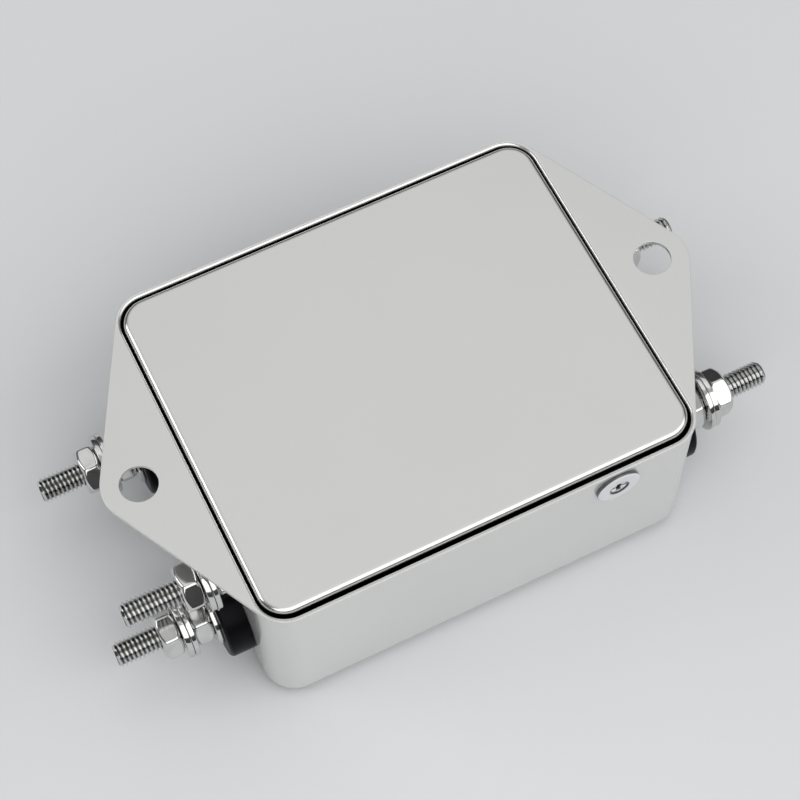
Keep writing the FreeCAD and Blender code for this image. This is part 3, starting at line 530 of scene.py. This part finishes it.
film_tan = moulded("film_tan", (0.62, 0.52, 0.3), (0.7, 0.6, 0.38), (0.35, 0.5), 300.0)
laminate = moulded("laminate", (0.3, 0.27, 0.1), (0.38, 0.34, 0.15), (0.4, 0.55), 1200.0)
ferrite = moulded("ferrite", (0.035, 0.035, 0.04), (0.06, 0.06, 0.062), (0.5, 0.7), 1500.0)
capacitor_grey = moulded("capacitor_grey", (0.48, 0.49, 0.47), (0.54, 0.55, 0.53),
                         (0.3, 0.42), 700.0)
capacitor_blue = moulded("capacitor_blue", (0.03, 0.1, 0.3), (0.05, 0.14, 0.36),
                         (0.25, 0.4), 500.0)
lacquer = moulded("lacquer", (0.2, 0.3, 0.36), (0.26, 0.36, 0.42), (0.3, 0.45), 800.0)
nylon = moulded("nylon", (0.66, 0.64, 0.56), (0.72, 0.7, 0.63), (0.4, 0.55), 600.0)
tinned_copper = bright_plating("tinned_copper", (0.74, 0.55, 0.42), (0.62, 0.44, 0.32),
                               (0.2, 0.35), 0.1)
INSIDE = {
    "insulating_sheet": film_tan, "choke_divider": nylon, "board_posts": nylon,
    "circuit_board": laminate, "choke_core": ferrite,
    "line_x_capacitor": capacitor_grey, "load_x_capacitor": capacitor_grey,
    "line_y_capacitor": capacitor_blue, "neutral_y_capacitor": capacitor_blue,
    "bleed_resistor": lacquer, "earth_tag": tinned_copper,
}
for end in ("line", "load"):
    for side in ("near", "far"):
        INSIDE[f"{end}_inner_ring_{side}"] = glossy_black
        INSIDE[f"{end}_tag_{side}"] = tinned_copper
for node, material in INSIDE.items():
    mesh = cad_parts[node].data
    mesh.materials.clear()
    mesh.materials.append(material)


# Coils: two windings of enamelled copper wire, each of eleven turns laid side by side round its
# own side of the ferrite ring.

WIRE = 0.74
TURNS = 11
COIL_REACH = 66
CORE_MIDDLE = 11.75
CORE_HALF = 3.25
CORE_HALF_HEIGHT = 5.5
CORE_LEVEL = 11.9
SQUARENESS = 0.4


def coil_rows(facing):
    """Ring of points carried along a path, which circles the core's section as a rounded square
    (sign cos |cos|^0.4, sign sin |sin|^0.4) while its place round the core moves on steadily."""
    steps = TURNS * 40
    turn = np.linspace(0, 2 * np.pi * TURNS, steps)
    place = np.radians(facing) + np.linspace(-1, 1, steps) * np.radians(COIL_REACH)
    out = np.sign(np.cos(turn)) * np.abs(np.cos(turn)) ** SQUARENESS * (CORE_HALF + WIRE)
    up = np.sign(np.sin(turn)) * np.abs(np.sin(turn)) ** SQUARENESS * (CORE_HALF_HEIGHT + WIRE)
    radius = CORE_MIDDLE + out
    path = np.stack([radius * np.cos(place), radius * np.sin(place), CORE_LEVEL + up], axis=1)
    along = np.gradient(path, axis=0)
    along /= np.linalg.norm(along, axis=1)[:, None]
    sideways = np.stack([-np.sin(place), np.cos(place), 0 * place], axis=1)
    sideways -= along * (along * sideways).sum(axis=1)[:, None]
    sideways /= np.linalg.norm(sideways, axis=1)[:, None]
    third = np.cross(along, sideways)
    angle = np.linspace(0, 2 * np.pi, 10, endpoint=False)[None, :, None]
    return path[:, None] + WIRE * (np.cos(angle) * sideways[:, None]
                                   + np.sin(angle) * third[:, None])


enamelled_copper = bright_plating("enamelled_copper", (0.62, 0.25, 0.09), (0.48, 0.17, 0.06),
                                  (0.2, 0.32), 0.08)
for node, facing in (("line_winding", -90), ("neutral_winding", 90)):
    closed_skin(f"{node}_skin", [coil_rows(facing)], enamelled_copper,
                [node], caps=True)


# Cover: a shallow pressed plate of the same sheet, sunk into the mouth with its rounded edge
# just proud of the ears. Two tabs reach down inside the long walls to its screws.

COVER_TOP = 30.6
COVER_BAND = 0.1
COVER_FLAT = 0.01
COVER_DEEP = (0.685, 0.685, 0.673)
COVER_EDGE = 0.08

# The cover's skirt, sunk inside the mouth, gets the same painted shade deep down.
cover_nickel = plated_sheet(
    "cover_nickel", NICKEL_PALE, COVER_DEEP, COVER_TOP - COVER_BAND, COVER_TOP - COVER_FLAT)
pressed_skin("cover_plate", "cover_skin", cover_nickel, COVER_EDGE)


# Cover screws: small zinc-plated steel screws, whose thin wide head has a cross recess in a
# shallow round one. There is one in each long wall, driven through it into the cover's tab.

SCREW_HEAD = 3.5
SCREW_HEAD_DEPTH = 0.75
SCREW_SHANK = 1.4
SCREW_LENGTH = 6.0
SCREW_RIM = 0.45
SCREW_CROWN = 0.2
SCREW_EDGE = 0.1
SCREW_SIDE = 0.55
RECESS_RING = 1.45
RING_SINK = 0.2
RING_STEEP = 28
RING_SHADE = 0.19
CROSS_ARM = 1.15
CROSS_HALF = 0.3
CROSS_SINK = 1.0
CROSS_STEEP = 30
# Share of painted shade on the screw head's turned side.
PAINTED_SIDE_SHADE = 0.85
ZINC_PALE = (0.8, 0.8, 0.83)
ZINC_DEEP = (0.76, 0.76, 0.785)


def screw_rows(around=120):
    """Head as a height over (r, a): a disc with a sloping rim, less a shallow round recess and a
    cross in it, both of which fade by 1 / (1 + e^d) at their edge; below it the plain shank. The
    last column, the share of painted shade, is high in the cross, along the recess's edge and on
    the head's turned side."""
    angle = np.linspace(0, 2 * np.pi, around, endpoint=False)
    radius = np.concatenate([np.linspace(0.03, 1.7, 44), np.linspace(1.8, SCREW_HEAD - 0.05, 22)])
    radius = radius[::-1][:, None]
    x, y = radius * np.cos(angle), radius * np.sin(angle)
    rim = np.clip((SCREW_HEAD - radius) / SCREW_RIM, 0, 1)
    top = SCREW_HEAD_DEPTH * (1 - SCREW_CROWN + SCREW_CROWN * np.sin(rim * np.pi / 2))
    ring = RING_SINK / (1 + np.exp((radius - RECESS_RING) * RING_STEEP))
    arm = np.minimum(
        np.maximum(np.abs(x) - CROSS_HALF, np.abs(y) - CROSS_ARM),
        np.maximum(np.abs(y) - CROSS_HALF, np.abs(x) - CROSS_ARM))
    cross = CROSS_SINK / (1 + np.exp(arm * CROSS_STEEP))
    # Painted shade along the recess's edge and in the cross.
    painted_shade = np.exp(-((radius - RECESS_RING) / RING_SHADE) ** 2)
    dark = np.clip(3 * cross + painted_shade, 0, 1)
    head = np.stack([x, y, SCREW_LENGTH + top - ring - cross, dark], axis=2)
    below = turned(np.array([
        (0.3, 0), (SCREW_SHANK - 0.3, 0), (SCREW_SHANK, 0.4), (SCREW_SHANK, SCREW_LENGTH),
        (SCREW_HEAD - SCREW_EDGE, SCREW_LENGTH), (SCREW_HEAD, SCREW_LENGTH + SCREW_EDGE),
        (SCREW_HEAD, SCREW_LENGTH + SCREW_SIDE)]), around)
    below = np.pad(below, ((0, 0), (0, 0), (0, 1)))
    # The head's turned side gets painted shade.
    below[-3:, :, 3] = PAINTED_SIDE_SHADE
    return np.concatenate([below, head])


zinc_plated = bright_plating("zinc_plated", ZINC_PALE, ZINC_DEEP, rough=(0.16, 0.24),
                             ripple=0.04, metal=0.45)
low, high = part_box("cover_screws")
along = high[0] / MM - SCREW_HEAD
level = (low[2] + high[2]) / 2 / MM
face = high[1] / MM - SCREW_LENGTH - SCREW_HEAD_DEPTH
screw = screw_rows()
near = np.stack([along + screw[..., 0], -face - screw[..., 2], level + screw[..., 1]], axis=-1)
far = near * np.array([-1, -1, 1])
closed_skin("cover_screws_skin", [near, far], zinc_plated,
            ["cover_screws"], caps=True, depth=screw[..., 3])


# Floor, light and camera: a pale floor under the filter, a wide soft lamp on the viewer's side,
# weaker ones beyond the earth stud's end and on the far side, and a sky that is pale above and
# dark at the horizon.

FLOOR_REACH = 3.0
FLOOR_DEEP = (0.71, 0.72, 0.73)
FLOOR_PALE = (0.73, 0.74, 0.75)
HORIZON = (0.045, 0.045, 0.05, 1)
OVERHEAD = (0.6, 0.6, 0.6, 1)

floor_mesh = bpy.data.meshes.new("floor")
floor_corners = [(FLOOR_REACH * x, FLOOR_REACH * y, 0)
                 for x, y in ((-1, -1), (1, -1), (1, 1), (-1, 1))]
floor_mesh.from_pydata(floor_corners, [], [(0, 1, 2, 3)])
floor = bpy.data.objects.new("floor", floor_mesh)
bpy.context.scene.collection.objects.link(floor)
floor_mesh.materials.append(moulded("floor_paint", FLOOR_DEEP, FLOOR_PALE, rough=(0.6, 0.7),
                                    speck=40.0))

sky = bpy.data.worlds.new("sky")
bpy.context.scene.world = sky
sky.use_nodes = True
direction = add_node(sky.node_tree, "ShaderNodeTexCoord", {}, {}).outputs["Generated"]
rise = add_node(sky.node_tree, "ShaderNodeSeparateXYZ", {}, {"Vector": direction}).outputs["Z"]
bands = add_node(sky.node_tree, "ShaderNodeValToRGB", {}, {"Fac": rise})
bands.color_ramp.elements[0].color = HORIZON
bands.color_ramp.elements[1].color = OVERHEAD
for height, grey in ((0.35, 0.09), (0.65, 0.24)):
    bands.color_ramp.elements.new(height).color = (grey, grey, grey * 1.02, 1)
sky.node_tree.links.new(bands.outputs["Color"],
                        sky.node_tree.nodes["Background"].inputs["Color"])


def soft_lamp(name, place, width, height, power):
    """Rectangular lamp that faces the filter from a place in metres."""
    lamp = bpy.data.lights.new(name, "AREA")
    lamp.shape = "RECTANGLE"
    lamp.size = width
    lamp.size_y = height
    lamp.energy = power
    holder = bpy.data.objects.new(name, lamp)
    back = np.array(place) / np.linalg.norm(place)
    side = np.cross((0, 0, 1), back)
    side /= np.linalg.norm(side)
    up = np.cross(back, side)
    turn = np.eye(4)
    turn[:3] = np.stack([side, up, back, place], axis=1)
    holder.matrix_world = Matrix(turn.tolist())
    bpy.context.scene.collection.objects.link(holder)


soft_lamp("viewer_lamp", (0.14, -0.68, 0.72), width=3.2, height=0.9, power=14.3)
soft_lamp("end_lamp", (-0.8, 0.43, 0.5), width=0.6, height=0.45, power=2.2)
soft_lamp("far_lamp", (0.22, 0.46, 0.86), width=0.9, height=0.8, power=1.15)

photo_lens = bpy.data.cameras.new("photo_camera")
photo_lens.lens = 97.0
photo_lens.sensor_width = 36.0
photo_lens.clip_start = 0.01
camera = bpy.data.objects.new("photo_camera", photo_lens)
camera_axes = np.eye(4)
camera_axes[:3, 0] = (0.8971, -0.4417, -0.0077)
camera_axes[:3, 1] = (0.3968, 0.7982, 0.4532)
camera_axes[:3, 2] = (-0.194, -0.4097, 0.8914)
camera_axes[:3, 3] = (-0.0643, -0.13485, 0.3133)
camera.matrix_world = Matrix(camera_axes.tolist())
bpy.context.scene.collection.objects.link(camera)
bpy.context.scene.camera = camera
bpy.context.scene.view_settings.view_transform = "Standard"
